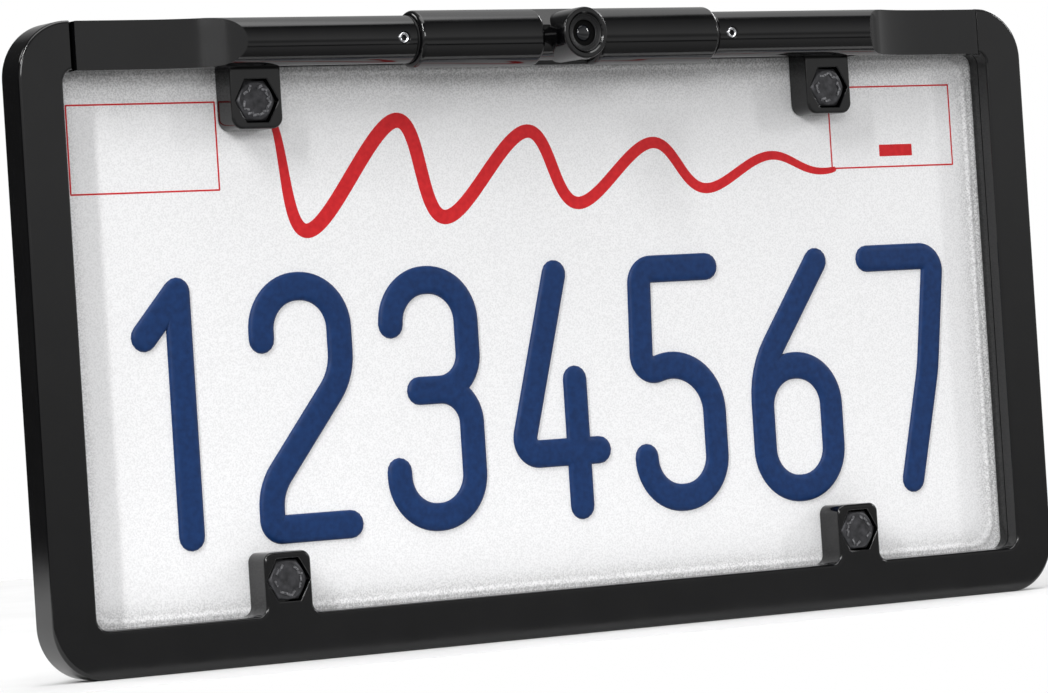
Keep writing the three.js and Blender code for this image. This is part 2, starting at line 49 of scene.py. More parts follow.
# Places here are metres, the lens millimetres and the roll degrees.
EYE = Vector((-0.65315, -1.01979, -0.01693))
TARGET = Vector((-0.01443, -0.0092, -0.00531))
FOCAL_LENGTH, SENSOR_WIDTH, ROLL = 158.02, 36, -3.677


def new_object(name, data):
    made = bpy.data.objects.new(name, data)
    bpy.context.scene.collection.objects.link(made)
    return made


lens_data = bpy.data.cameras.new("view_camera")
lens_data.lens = FOCAL_LENGTH
lens_data.sensor_width = SENSOR_WIDTH
lens_data.clip_start = 0.01
view_camera = new_object("view_camera", lens_data)
view_camera.location = EYE
view_camera.rotation_mode = "QUATERNION"
roll = Quaternion((0, 0, 1), radians(ROLL))
view_camera.rotation_quaternion = (TARGET - EYE).to_track_quat("-Z", "Y") @ roll
bpy.context.scene.camera = view_camera
bpy.context.scene.view_settings.view_transform = "Standard"


def linear(hex_colour):
    """An sRGB hex colour as linear RGBA."""
    values = [int(hex_colour[i : i + 2], 16) / 255 for i in (1, 3, 5)]
    return [v / 12.92 if v <= 0.04045 else ((v + 0.055) / 1.055) ** 2.4 for v in values] + [1.0]


def add_node(tree, kind, inputs=None, **settings):
    """Adds a node, sets its properties, and gives each named or numbered input a value or a link."""
    node = tree.nodes.new(kind)
    for key, value in settings.items():
        setattr(node, key, value)
    for key, value in (inputs or {}).items():
        if isinstance(value, bpy.types.NodeSocket):
            tree.links.new(value, node.inputs[key])
        else:
            node.inputs[key].default_value = value
    return node


def output(tree, kind, inputs=None, **settings):
    """The first output of a new node."""
    return add_node(tree, kind, inputs, **settings).outputs[0]


def ramp(tree, value, stops):
    """A colour ramp over a 0 to 1 value, from (place, colour) pairs."""
    node = add_node(tree, "ShaderNodeValToRGB", {0: value})
    elements = node.color_ramp.elements
    while len(elements) > 1:
        elements.remove(elements[-1])
    for i, (place, colour) in enumerate(stops):
        element = elements[0] if i == 0 else elements.new(place)
        element.position = place
        element.color = colour
    return node.outputs[0]


def remap(tree, value, start, end, low, high):
    """Maps start to end onto low to high, and holds the value at both ends."""
    return output(tree, "ShaderNodeMapRange", {0: value, 1: start, 2: end, 3: low, 4: high})


def calculated(tree, operation, *values):
    """The result of a maths node, such as "MULTIPLY"."""
    return output(tree, "ShaderNodeMath", dict(enumerate(values)), operation=operation)


def mixed(tree, share, first, second):
    """One colour blended into another."""
    return add_node(tree, "ShaderNodeMix", {0: share, 6: first, 7: second}, data_type="RGBA").outputs[2]


# The studio as the gloss paint shows it, as (elevation, level) pairs. In front are white walls at eye height that
# darken upwards, a dark line below the horizon and a softbox overhead. Behind, a bright wall climbs to the softbox
# on the right and a darker one stands on the left.
FRONT_ROOM = [
    (-90, 0.12), (-57, 0.18), (-45, 0.3), (-35, 0.42), (-26, 0.48), (-24.5, 0.03), (-22, 0.03), (-20, 0.62),
    (-13, 0.62), (-7, 0.32), (-3.5, 0.32), (4, 0.7), (14, 0.6), (28, 0.42), (46, 0.18), (55, 0.04), (58, 2.6),
    (72, 3.6), (90, 3.6),
]
REAR_ROOM = [(-90, 0.2), (-10, 0.4), (0, 0.4), (8, 0.38), (25, 0.5), (46, 0.9), (57, 1.4), (66, 3.6), (90, 3.6)]
REAR_LEFT, REAR_RIGHT = 0.12, 1.0
BRIGHTEST = 4.0

world = bpy.data.worlds.new("studio")
world.use_nodes = True
bpy.context.scene.world = world
sky = world.node_tree
sky.nodes.clear()
towards = add_node(sky, "ShaderNodeTexCoord").outputs["Generated"]
heading = add_node(sky, "ShaderNodeSeparateXYZ", {0: towards}).outputs
height = remap(sky, heading["Z"], -1.0, 1.0, 0.0, 1.0)


def room_levels(levels):
    return ramp(sky, height, [
        ((sin(radians(angle)) + 1) / 2, [level / BRIGHTEST] * 3 + [1.0]) for angle, level in levels
    ])


behind = remap(sky, heading["Y"], -0.03, 0.05, 0.0, 1.0)
to_right = remap(sky, heading["X"], 0.0, 0.4, REAR_LEFT, REAR_RIGHT)
rear = output(sky, "ShaderNodeVectorMath", {0: room_levels(REAR_ROOM), "Scale": to_right}, operation="SCALE")
glow = mixed(sky, behind, room_levels(FRONT_ROOM), rear)
room = output(sky, "ShaderNodeBackground", {"Color": glow, "Strength": BRIGHTEST})
backdrop = output(sky, "ShaderNodeBackground", {"Color": linear("#ffffff"), "Strength": 1.0})
seen = add_node(sky, "ShaderNodeLightPath").outputs["Is Camera Ray"]
both = output(sky, "ShaderNodeMixShader", {0: seen, 1: room, 2: backdrop})
add_node(sky, "ShaderNodeOutputWorld", {"Surface": both})


def softbox(name, place, width, height, power):
    """An area light that faces the middle of the frame. Its place and size are metres, its power watts."""
    data = bpy.data.lights.new(name, "AREA")
    data.shape = "RECTANGLE"
    data.size = width
    data.size_y = height
    data.energy = power
    light = new_object(name, data)
    light.location = place
    light.rotation_euler = (-Vector(place)).to_track_quat("-Z", "Y").to_euler()


softbox("strip_left", (-1.35, -0.85, 1.15), 0.1, 0.9, 20)
softbox("back_left", (-1.3, 1.2, 1.1), 0.6, 0.5, 7)
softbox("back_right", (1.7, 0.9, 0.8), 0.5, 0.5, 7)
softbox("key", (-0.8, -1.55, 0.48), 0.9, 0.4, 8)
softbox("strip_right", (1.6, -1.0, 0.6), 0.12, 0.4, 5)

# ---- Materials ----


def surface(name, colour, roughness, metallic=0.0, ior=1.5, **sockets):
    """A material with a Principled shader, and the Object coordinates its patterns read."""
    material = bpy.data.materials.new(name)
    material.use_nodes = True
    tree = material.node_tree
    tree.nodes.clear()
    inputs = {"Base Color": linear(colour), "Roughness": roughness, "Metallic": metallic, "IOR": ior}
    shader = add_node(tree, "ShaderNodeBsdfPrincipled", {**inputs, **sockets})
    add_node(tree, "ShaderNodeOutputMaterial", {"Surface": shader.outputs[0]})
    place = add_node(tree, "ShaderNodeTexCoord").outputs["Object"]
    return material, tree, shader, place


def grain(tree, place, size_mm, detail=2.0):
    """A noise pattern whose grains are about size_mm across, as its 0 to 1 output."""
    noise = add_node(tree, "ShaderNodeTexNoise", {"Vector": place, "Scale": 1 / (size_mm * MM), "Detail": detail})
    return noise.outputs["Fac"]


def spread(tree, value, low, high):
    """Stretches the middle of a noise to a range."""
    return remap(tree, value, 0.3, 0.7, low, high)


def dents(tree, shader, value, depth_mm, strength=1.0):
    """Raises the surface by a 0 to 1 pattern, depth_mm high."""
    bump = output(tree, "ShaderNodeBump", {"Height": value, "Distance": depth_mm * MM, "Strength": strength})
    tree.links.new(bump, shader.inputs["Normal"])


def tint(tree, shader, value, shades, at=(0.3, 0.7)):
    """Colours the surface between two shades of a 0 to 1 pattern."""
    colour = ramp(tree, value, [(place, linear(shade)) for place, shade in zip(at, shades)])
    tree.links.new(colour, shader.inputs["Base Color"])


def mottled(name, colour, roughness, patch_mm, shades, at=(0.3, 0.7), detail=2.0, sheen=None, pits=None, **given):
    """A material mottled between two shades in patches of patch_mm.

    sheen is (grain size in mm, lowest roughness, highest roughness), and pits are (grain size, depth) in mm.
    """
    material, tree, shader, place = surface(name, colour, roughness, **given)
    if sheen:
        grain_mm, lowest, highest = sheen
        uneven = spread(tree, grain(tree, place, grain_mm), lowest, highest)
        tree.links.new(uneven, shader.inputs["Roughness"])
    tint(tree, shader, grain(tree, place, patch_mm, detail), shades, at)
    if pits:
        grain_mm, depth_mm = pits
        dents(tree, shader, grain(tree, place, grain_mm), depth_mm)
    return material


# Gloss black enamel over die-cast aluminium: deep black, wet-looking, with a faint orange peel 3 mm across.
gloss_enamel = mottled(
    "gloss_black_enamel", "#050506", 0.1, 9, ("#040405", "#070708"), at=(0.35, 0.7), sheen=(22, 0.07, 0.13),
    pits=(3.2, 0.004),
)

# White retroreflective sheeting: glass beads under a clear film, so the white glitters in grains drawn 0.45 mm
# across. Painted shade greys it under the top bar, and a little along the sides and the foot, where the grains are
# painted with brighter glints. The bands are metres from the plate's middle.
sheeting, tree, shader, place = surface("white_reflective_sheeting", "#e9e9e9", 0.42)
beads = grain(tree, place, 0.45, detail=1.0)
axes = add_node(tree, "ShaderNodeSeparateXYZ", {0: place}).outputs
across = calculated(tree, "ABSOLUTE", axes["X"])
# Masks for painted shade near the sides, under the top bar and above the foot.
near_side = remap(tree, across, 0.136, 0.143, 0.0, 0.6)
near_top = remap(tree, axes["Z"], 0.057, 0.071, 0.0, 0.6)
near_foot = remap(tree, axes["Z"], -0.063, -0.069, 0.0, 0.45)
near_shade = calculated(tree, "MAXIMUM", calculated(tree, "MAXIMUM", near_side, near_top), near_foot)
# Painted shade: how strongly the sheeting is greyed near the frame, varied in patches.
shade_patches = spread(tree, grain(tree, place, 18, detail=3.0), 0.6, 1.0)
painted_shade = calculated(tree, "MULTIPLY", near_shade, shade_patches)
# The sheeting's own colour, then its grey under painted shade with painted bright glints.
unshaded = ramp(tree, beads, [(0.36, linear("#e9e9ea")), (0.5, linear("#f3f3f4")), (0.64, linear("#f9f9fa"))])
shaded_grey = ramp(tree, beads, [(0.38, linear("#909090")), (0.5, linear("#cdcdcd")), (0.62, linear("#ffffff"))])
tree.links.new(mixed(tree, painted_shade, unshaded, shaded_grey), shader.inputs["Base Color"])
dents(tree, shader, beads, 0.012, 0.5)

# Enamel on the raised figures: dark navy with a soft gloss and a light mottle.
blue_ink = mottled(
    "dark_blue_plate_enamel", "#0d2e5e", 0.48, 1.6, ("#0b2a57", "#123568"), detail=3.0, pits=(1.1, 0.015),
    **{"Specular IOR Level": 0.25},
)

# Red screen ink, flat on the sheeting, a little uneven where the screen laid it thin.
red_ink = mottled(
    "red_screen_ink", "#cd2329", 0.5, 1.4, ("#c41e25", "#d5282d"), detail=3.0, **{"Specular IOR Level": 0.2},
)

# Black-oxide steel bolts: dark grey metal with a dull sheen and a fine forged grain.
black_oxide = mottled(
    "black_oxide_steel", "#3c3c3e", 0.38, 1.8, ("#303032", "#4b4b4e"), detail=4.0, sheen=(0.9, 0.28, 0.46),
    pits=(0.6, 0.03), metallic=0.6,
)

# The tops of a bolt's stamped marks, where the oxide has rubbed through to bare steel.
worn_steel = mottled(
    "worn_black_oxide_steel", "#77777a", 0.3, 0.8, ("#4c4c4f", "#98989b"), at=(0.35, 0.65),
    sheen=(0.5, 0.2, 0.42), metallic=0.9,
)

# Bright zinc-plated steel: silver, with a slight waviness from turning.
bright_steel = mottled(
    "bright_zinc_steel", "#d2d3d5", 0.2, 1.5, ("#c4c5c8", "#dcdddf"), sheen=(0.5, 0.14, 0.28),
    pits=(0.4, 0.008), metallic=1.0,
)

# Machined steel trunnion: darker bare metal, fine tool marks round it drawn 0.3 mm apart.
machined_steel, tree, shader, place = surface("machined_steel", "#8d8e90", 0.3, metallic=1.0)
marks = add_node(tree, "ShaderNodeTexWave", {"Vector": place, "Scale": 1 / (6.3 * MM), "Distortion": 0.6})
tree.links.new(spread(tree, marks.outputs["Fac"], 0.24, 0.36), shader.inputs["Roughness"])
tint(tree, shader, grain(tree, place, 2.0), ("#828385", "#999a9d"))

# Natural nylon connector shell: milky, waxy, slightly cloudy.
nylon = mottled("natural_nylon", "#d6d3ca", 0.45, 1.5, ("#cdc9be", "#dedbd3"), ior=1.53)

# Black acetal thrust washers: waxy black plastic with a faint moulded mottle.
acetal = mottled("black_acetal", "#121213", 0.5, 1.2, ("#0f0f10", "#171718"), ior=1.48)

# Black moulded rubber: no gloss, a fine matt skin with grains drawn 0.4 mm across.
rubber = mottled("black_rubber", "#141415", 0.85, 1.2, ("#101011", "#1a1a1b"), pits=(0.4, 0.03), ior=1.52)

# Matt black anodised aluminium round the lens: near black, faintly silky.
matt_anodised = mottled(
    "matt_black_anodised", "#121213", 0.42, 1.0, ("#0e0e0f", "#171718"), sheen=(0.5, 0.34, 0.5), metallic=0.3,
)

# Optical black paint inside the lens: dead black, so that only the glass shows a reflection.
optical_black = mottled(
    "optical_black_paint", "#050505", 0.9, 0.8, ("#040404", "#070707"), **{"Specular IOR Level": 0.12},
)

# Coated optical glass: near black with a clean reflection and a faint violet-blue coating colour.
lens_glass = mottled("coated_lens_glass", "#07090d", 0.02, 4.0, ("#05070b", "#0d1018"), ior=1.6)

# Solder-masked circuit board: dark green with a faint glass weave drawn 0.5 mm wide.
board_mask = mottled("green_solder_mask", "#1d5a35", 0.35, 0.5, ("#184d2d", "#23653d"), ior=1.55)

# Dark silicon under a filter: blue-black and shiny.
silicon = mottled("dark_silicon", "#202226", 0.2, 0.8, ("#1b1d22", "#282b31"), metallic=0.2)

# Pale seamless paper under the object.
paper = mottled("pale_paper", "#e2e2e2", 0.7, 40, ("#dfdfdf", "#e5e5e5"), ior=1.4)

# ---- Shapes ----

MERGE = 1e-4


def piece(name, points, faces):
    """A mesh object from millimetre points, in metres, with doubles merged and faces outwards."""
    mesh = bpy.data.meshes.new(name)
    mesh.from_pydata([Vector(p) * MM for p in points], [], faces)
    body = bmesh.new()
    body.from_mesh(mesh)
    bmesh.ops.remove_doubles(body, verts=body.verts, dist=MERGE * MM)
    bmesh.ops.dissolve_degenerate(body, edges=body.edges, dist=MERGE * MM)
    bmesh.ops.recalc_face_normals(body, faces=body.faces)
    body.to_mesh(mesh)
    body.free()
    return new_object(name, mesh)


def walls(rings, ring_loop=False):
    """The faces between rings of points that all have the same count."""
    count = len(rings[0])
    faces = []
    for i in range(len(rings) if ring_loop else len(rings) - 1):
        a, b = i * count, (i + 1) % len(rings) * count
        for j in range(count):
            k = (j + 1) % count
            faces.append((a + j, a + k, b + k, b + j))
    return faces


def loft(name, rings, ring_loop=False):
    """A skin over rings of points, with its ends closed, or joined to each other by ring_loop."""
    count = len(rings[0])
    points = [p for ring in rings for p in ring]
    faces = walls(rings, ring_loop)
    if not ring_loop:
        faces.append(tuple(range(count)))
        faces.append(tuple(range(len(points) - count, len(points))))
    return piece(name, points, faces)


def as_plain(obj):
    """Puts what an object's modifiers make of it into its own mesh."""
    depsgraph = bpy.context.evaluated_depsgraph_get()
    made = bpy.data.meshes.new_from_object(obj.evaluated_get(depsgraph), depsgraph=depsgraph)
    obj.modifiers.clear()
    old = obj.data
    obj.data = made
    bpy.data.meshes.remove(old)
    return obj


def combine(body, operation, *tools):
    """A boolean of a body with each tool in turn, which uses the tools up."""
    for tool in tools:
        step = body.modifiers.new("step", "BOOLEAN")
        step.operation = operation
        step.solver = "MANIFOLD"
        step.object = tool
    as_plain(body)
    for tool in tools:
        bpy.data.objects.remove(tool)
    return body


def cut(body, *tools):
    return combine(body, "DIFFERENCE", *tools)


def join(body, *tools):
    return combine(body, "UNION", *tools)


def dressed(obj, material, body, slot, *stands_for, sharp=32):
    """Gives a piece its finish and smooth shading, and puts it on its body in place of its CAD nodes."""
    obj.data.materials.clear()
    obj.data.materials.append(material)
    for polygon in obj.data.polygons:
        polygon.material_index = 0
        polygon.use_smooth = True
    obj.data.set_sharp_from_angle(angle=radians(sharp))
    even = obj.modifiers.new("even_faces", "WEIGHTED_NORMAL")
    even.keep_sharp = True
    as_plain(obj)
    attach(obj, body)
    if stands_for:
        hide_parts(*stands_for)


def arc(x, z, radius, start, end, steps):
    """Points on an arc in the XZ plane, angles in degrees."""
    angles = [radians(start + (end - start) * i / steps) for i in range(steps + 1)]
    return [(x + radius * cos(a), z + radius * sin(a)) for a in angles]


def rounded_rectangle(width, height, radius, x=0.0, z=0.0, offset=0.0, steps=14):
    """A closed outline about (x, z), counter-clockwise, moved outwards by offset."""
    right = width / 2 - radius
    top = height / 2 - radius
    size = radius + offset
    corners = [(right, -top, -90), (right, top, 0), (-right, top, 90), (-right, -top, 180)]
    return [p for cx, cz, a in corners for p in arc(x + cx, z + cz, size, a, a + 90, steps)]


def rounded_corners(corners, closed=True, turn=7.5):
    """A path through (x, z, radius) corners with each corner rounded."""
    made = []
    count = len(corners)
    for i, (x, z, radius) in enumerate(corners):
        here = Vector((x, z))
        if not closed and i in (0, count - 1) or radius == 0:
            made.append((x, z))
            continue
        before = (Vector(corners[i - 1][:2]) - here).normalized()
        after = (Vector(corners[(i + 1) % count][:2]) - here).normalized()
        half = before.angle(after) / 2
        back = radius / tan(half)
        centre = here + (before + after).normalized() * (radius / sin(half))
        start = here + before * back - centre
        end = here + after * back - centre
        swing = atan2(start.x * end.y - start.y * end.x, start.dot(end))
        steps = max(3, round(abs(degrees(swing)) / turn))
        first = atan2(start.y, start.x)
        for s in range(steps + 1):
            angle = first + swing * s / steps
            made.append((centre.x + radius * cos(angle), centre.y + radius * sin(angle)))
    return made


def grown(outline, distance):
    """A closed outline, counter-clockwise, moved outwards by a distance."""
    made = []
    count = len(outline)
    for i in range(count):
        here = Vector(outline[i])
        before = (here - Vector(outline[i - 1])).normalized()
        after = (Vector(outline[(i + 1) % count]) - here).normalized()
        side_a = Vector((before.y, -before.x))
        side_b = Vector((after.y, -after.x))
        normal = (side_a + side_b).normalized()
        made.append(tuple(here + normal * (distance / max(0.3, normal.dot(side_a)))))
    return made


def edge_steps(front, size):
    """(Y, offset) pairs over a rounded edge: from size behind the front, where it starts, to the front."""
    angles = [pi / 2 * i / 6 for i in range(7)]
    return [(front + size * (1 - sin(a)), size * (1 - cos(a))) for a in angles]


def stacked(name, outline_at, stations, ring_loop=False):
    """A loft of one outline. Each station is (Y, offset), and outline_at(offset) gives the (x, z) points."""
    rings = [[(x, y, z) for x, z in outline_at(offset)] for y, offset in stations]
    return loft(name, rings, ring_loop)


def slab(name, outline_at, back, front, edge=0.0, back_edge=0.0):
    """A solid between two Y values, with its front edge rounded and its back edge cut at 45 degrees."""
    stations = [(back, -back_edge), (back - back_edge, 0.0)] if back_edge else [(back, 0.0)]
    stations += [(y, -inset) for y, inset in edge_steps(front, edge)] if edge else [(front, 0.0)]
    return stacked(name, outline_at, stations)


def opening(name, outline_at, back, front, edge=0.0):
    """A cutter between two Y values, which leaves a rounded edge of that size where it comes out at the front."""
    stations = [(back, 0.0)]
    if edge:
        stations += edge_steps(front, edge)
        stations.append((front - 1, stations[-1][1]))
    else:
        stations.append((front, 0.0))
    return stacked(name, outline_at, stations)


def box(name, xs, ys, zs):
    """A box between pairs of X, Y and Z values."""
    (left, right), (low, high) = xs, zs
    return stacked(name, lambda o: [(left, low), (right, low), (right, high), (left, high)], [(y, 0.0) for y in ys])


def circle(x, z, radius, facets):
    angles = [2 * pi * i / facets for i in range(facets)]
    return [(x + radius * cos(a), z + radius * sin(a)) for a in angles]


def turned_y(name, profile, x, z, facets=48, ring_loop=False):
    """A turned piece about a line along Y. Each profile point is (radius, Y)."""
    return stacked(name, lambda r: circle(x, z, r, facets), [(y, r) for r, y in profile], ring_loop)


def turned_x(name, profile, facets=96):
    """A turned piece about the camera axis. Each profile point is (radius, X)."""
    angles = [2 * pi * i / facets for i in range(facets)]
    return loft(name, [[(x, AXIS_Y - r * cos(a), AXIS_Z + r * sin(a)) for a in angles] for r, x in profile])


def move(obj, y):
    """Moves an object's mesh along Y, in millimetres."""
    for vertex in obj.data.vertices:
        vertex.co.y += y * MM
    return obj


def hexagon(flats, x, z, offset=0.0):
    """A hexagon by its width over flats, moved outwards by offset."""
    radius = (flats / 2 + offset) * 2 / sqrt(3)
    return [(x + radius * cos(i * pi / 3), z + radius * sin(i * pi / 3)) for i in range(6)]


# ---- Frame casting ----

FRAME_W, FRAME_H, FRAME_RADIUS = 310.2, 162.2, 14
PLATE_W, PLATE_H = 304.8, 152.4
HOLE_X, HOLE_Z = 88.9, 60.325
FRONT_Y, REBATE_Y, SEAT_Y = -9.9, -2.1, -5.5
WINDOW_X, WINDOW_Z = 143.1, 69.0
TAB_END, TAB_BACK = 53.2, -1.4
UPPER_FACE, UPPER_HALF, UPPER_ROOT, LOWER_HALF = -9.1, 7.3, 75, 6.7
BOLT_FLATS, HEAD, RECESS, SHANK_R, SHANK = 10.0, 4.0, 0.4, 3.0, 16.0
POCKET_FLATS, BOLT_HOLE_R = 10.9, 3.3
AXIS_Y, AXIS_Z = -13.5, 74.7
CABLE_X = 101.0
ARM_SCREW_X = (112, 130)
BEHIND = 1
BOLTS = [("upper_left", -1, 1), ("upper_right", 1, 1), ("lower_left", -1, -1), ("lower_right", 1, -1)]


def window_outline(offset):
    """The window with its two lower bolt tabs standing up into it."""
    corner, tab_corner = 3.3, 2.5
    corners = [(-WINDOW_X, -WINDOW_Z, corner)]
    for middle in (-HOLE_X, HOLE_X):
        left, right = middle - LOWER_HALF, middle + LOWER_HALF
        tab = [(left, -WINDOW_Z), (left, -TAB_END), (right, -TAB_END), (right, -WINDOW_Z)]
        corners += [(x, z, tab_corner) for x, z in tab]
    corners += [(x, z, corner) for x, z in ((WINDOW_X, -WINDOW_Z), (WINDOW_X, WINDOW_Z), (-WINDOW_X, WINDOW_Z))]
    return grown(rounded_corners(corners), offset)


def seat_cutter():
    """The step that the arms lie in, along the front of the top bar, with its end edges eased."""
    def outline(offset):
        return rounded_rectangle(281 + 2 * offset, 40 + 2 * offset, 0.2, z=88.99)

    return opening("seat", outline, SEAT_Y, FRONT_Y, 0.35)


def parting_groove():
    """A fine groove round the inner wall of the window, where the two halves of the mould met."""
    groove = opening("parting", lambda o: rounded_rectangle(287.9, 138.7, 3.6, offset=o), -5.75, -5.45)
    for middle in (-HOLE_X, HOLE_X):
        for heights in ((-80, -50), (50, 80)):
            cut(groove, box("tab_keep", (middle - 12, middle + 12), (-7, -4), heights))
    return groove


def upper_tab(middle):
    """A bolt tab that hangs from the top bar, cut to meet the bar and the arms' seat."""
    height = UPPER_ROOT - TAB_END
    centre = (TAB_END + UPPER_ROOT) / 2
    tab = slab(
        "upper_tab", lambda o: rounded_rectangle(2 * UPPER_HALF, height, 3, middle, centre, o),
        TAB_BACK, UPPER_FACE, 0.7,
    )
    above = box("above", (middle - 9, middle + 9), (-12, BEHIND), (WINDOW_Z + 0.4, 80))
    return cut(tab, above, seat_cutter())


def frame_casting():
    body = slab(
        "frame_casting_fine", lambda o: rounded_rectangle(FRAME_W, FRAME_H, FRAME_RADIUS, offset=o, steps=20),
        0, FRONT_Y, 0.9, 0.3,
    )
    rebate = opening("rebate", lambda o: rounded_rectangle(305.6, 153.2, 12.4, offset=o), REBATE_Y, BEHIND)
    for middle in (-HOLE_X, HOLE_X):
        reach = LOWER_HALF + 3
        cut(rebate, box("tab_back", (middle - reach, middle + reach), (-3, TAB_BACK), (-70, -50)))
    window = opening("window", window_outline, BEHIND, FRONT_Y, 0.8)
    cut(body, window, rebate, seat_cutter())
    for middle in (-HOLE_X, HOLE_X):
        join(body, upper_tab(middle))
    cut(body, parting_groove())
    for _, side, up in BOLTS:
        x, z = side * HOLE_X, up * HOLE_Z
        face = UPPER_FACE if up > 0 else FRONT_Y
        pocket = opening("pocket", lambda o: hexagon(POCKET_FLATS, x, z, o), face + RECESS + HEAD, face, 0.3)
        cut(body, pocket, turned_y("hole", [(BOLT_HOLE_R, BEHIND), (BOLT_HOLE_R, -8)], x, z))
    for side in (-1, 1):
        for x in ARM_SCREW_X:
            profile = [(3.02, BEHIND), (3.02, REBATE_Y), (1.7, REBATE_Y - 1.45), (1.7, -8)]
            cut(body, turned_y("arm_hole", profile, side * x, AXIS_Z))
    cut(body, box("gland_slot", (CABLE_X - 2.3, CABLE_X + 2.3), (-6.5, BEHIND), (76.2, 80.5)))
    return body


dressed(frame_casting(), gloss_enamel, "frame", "cast_gloss_black", "frame_casting")

# ---- Licence plate ----

PLATE_FACE = -1.0
# (inset from the plate's edge, Y) over its front: the edge, the bead and the fine fold. The fold lies FOLD_RISE
# nearer the top and the foot than it does to the sides.
RIM = [
    (0.0, -0.85), (0.15, -1.0), (3.0, -1.0), (3.4, -1.12), (3.9, -1.5), (4.4, -1.74), (4.9, -1.8), (5.4, -1.74),
    (5.9, -1.5), (6.4, -1.12), (6.9, -1.0), (9.9, -1.0), (10.3, -1.04), (10.8, -1.18), (11.2, -1.24),
    (11.6, -1.18), (12.1, -1.04), (12.6, -1.0),
]
FOLD_INSET, FOLD_RISE = 9.9, 2.9


def licence_plate():
    """A pressed sheet with a bead round its rim, pressed from behind, and a fine fold inside it."""
    def ring(inset, y):
        inset_z = inset - FOLD_RISE if inset >= FOLD_INSET else inset
        outline = rounded_rectangle(PLATE_W - 2 * inset, PLATE_H - 2 * inset_z, max(7.0, 12 - inset))
        return [(x, y, z) for x, z in outline]

    rear = [(6.2, 0.3), (6.2, 0.0), (5.5, -0.5), (4.9, -0.72), (4.3, -0.5), (3.6, 0.0), (3.6, 0.3)]
    sheet = loft("licence_plate_fine", [ring(inset, y) for inset, y in [(0.15, 0.0)] + RIM])
    bead = loft("bead", [ring(inset, y) for inset, y in rear], ring_loop=True)
    cut(sheet, bead)
    for _, side, up in BOLTS:
        x, z = side * HOLE_X, up * HOLE_Z
        cut(sheet, opening("slot", lambda o: rounded_rectangle(11.6, 7, 3.5, x, z, o), 1, -3))
    return sheet


# Figures 1 to 7 stand in for a registration. Each is one or more strokes in a 30 by 68.7 mm field, as
# (x, z, corner radius) points along the middle of the stroke.
FIGURE_W, FIGURE_H, STROKE = 30.0, 68.7, 7.3
HALF_STROKE = STROKE / 2
TOP, RIGHT = FIGURE_H - HALF_STROKE, FIGURE_W - HALF_STROKE
LOW, LEFT = HALF_STROKE, HALF_STROKE
FIGURES = {
    "1": [[(18, LOW, 0), (18, TOP, 0)], [(17.6, TOP - 0.3, 0), (8, TOP - 11, 0)]],
    "2": [[(LEFT, 52, 0), (LEFT, TOP, 11), (RIGHT, TOP, 11), (RIGHT, 42, 16), (LEFT, 14, 14), (LEFT, LOW, 2.6),
           (RIGHT, LOW, 0)]],
    "3": [[(LEFT, 54, 0), (LEFT, TOP, 11), (RIGHT, TOP, 11), (RIGHT, 36.5, 9), (11, 36.5, 0)],
          [(11, 36.5, 0), (RIGHT, 36.5, 9), (RIGHT, LOW, 11), (LEFT, LOW, 11), (LEFT, 16, 0)]],
    "4": [[(16, TOP, 0), (LEFT - 1, 18, 4.2), (RIGHT + 0.5, 18, 0)], [(20.5, 37, 0), (20.5, LOW, 0)]],
    "5": [[(RIGHT, TOP, 0), (LEFT + 1, TOP, 4), (LEFT, 37, 4), (RIGHT, 43, 13), (RIGHT, LOW, 11), (LEFT, LOW, 11),
           (LEFT, 15, 0)]],
    "6": [[(24, TOP, 0), (LEFT, 36, 26), (LEFT, LOW, 11), (RIGHT, LOW, 11), (RIGHT, 22, 0)],
          [(RIGHT, 22, 0), (RIGHT, 37, 11), (LEFT, 37, 11), (LEFT, 22, 0)]],
    "7": [[(LEFT, TOP, 0), (RIGHT, TOP, 3.9), (RIGHT - 4, 34, 60), (15, LOW, 0)]],
}
FIGURE_CENTRES = (-113.9, -76.2, -38.1, 0.3, 38.5, 77.2, 115.0)
FIGURE_BASE = -51.6
STROKE_PROFILE = [(0.0, 0.0), (0.1, 0.35), (0.35, 0.66), (0.75, 0.87), (1.3, 0.97), (1.9, 1.0)]


def smoothed_path(corners):
    """A stroke's middle line with its corners rounded and its straights cut into short steps."""
    points = rounded_corners(corners, closed=False, turn=6)
    made = [points[0]]
    for end in points[1:]:
        start = made[-1]
        length = dist(start, end)
        if length < 0.05:
            continue
        steps = max(1, round(length / 6))
        made += [tuple(start[k] + (end[k] - start[k]) * s / steps for k in (0, 1)) for s in range(1, steps + 1)]
    return made


def stroke(name, path, width_at, base, profile):
    """A raised stroke with round ends along a path in the XZ plane. profile is (inset, height) from its foot."""
    cap = 8
    count = len(path)
    loops = []
    for inset, rise in profile:
        left, right = [], []
        for i, (x, z) in enumerate(path):
            before = Vector(path[max(0, i - 1)])
            after = Vector(path[min(count - 1, i + 1)])
            along = (after - before).normalized()
            half = max(0.02, width_at(i / (count - 1)) / 2 - inset)
            left.append((x - along.y * half, z + along.x * half))
            right.append((x + along.y * half, z - along.x * half))
            if i in (0, count - 1):
                heading = degrees(atan2(along.y, along.x))
                turn = heading - 90 if i else heading + 90
                end_cap = arc(x, z, half, turn, turn + 180, cap)[1:-1]
                if i == 0:
                    start_cap = end_cap
        loops.append([(x, base - rise, z) for x, z in right + end_cap + left[::-1] + start_cap])
    points = [p for loop in loops for p in loop]
    size = len(loops[0])
    faces = walls(loops)
    for shift in (0, size * (len(loops) - 1)):
        for j in range(count - 1):
            right_a, right_b = j, j + 1
            left_a, left_b = count + cap - 1 + (count - 1 - j), count + cap - 1 + (count - 2 - j)
            faces.append(tuple(shift + v for v in (right_a, right_b, left_b, left_a)))
        faces.append(tuple(shift + v for v in range(count - 1, count + cap)))
        tail = list(range(2 * count + cap - 2, size)) + [0]
        faces.append(tuple(shift + v for v in tail))
    return piece(name, points, faces)


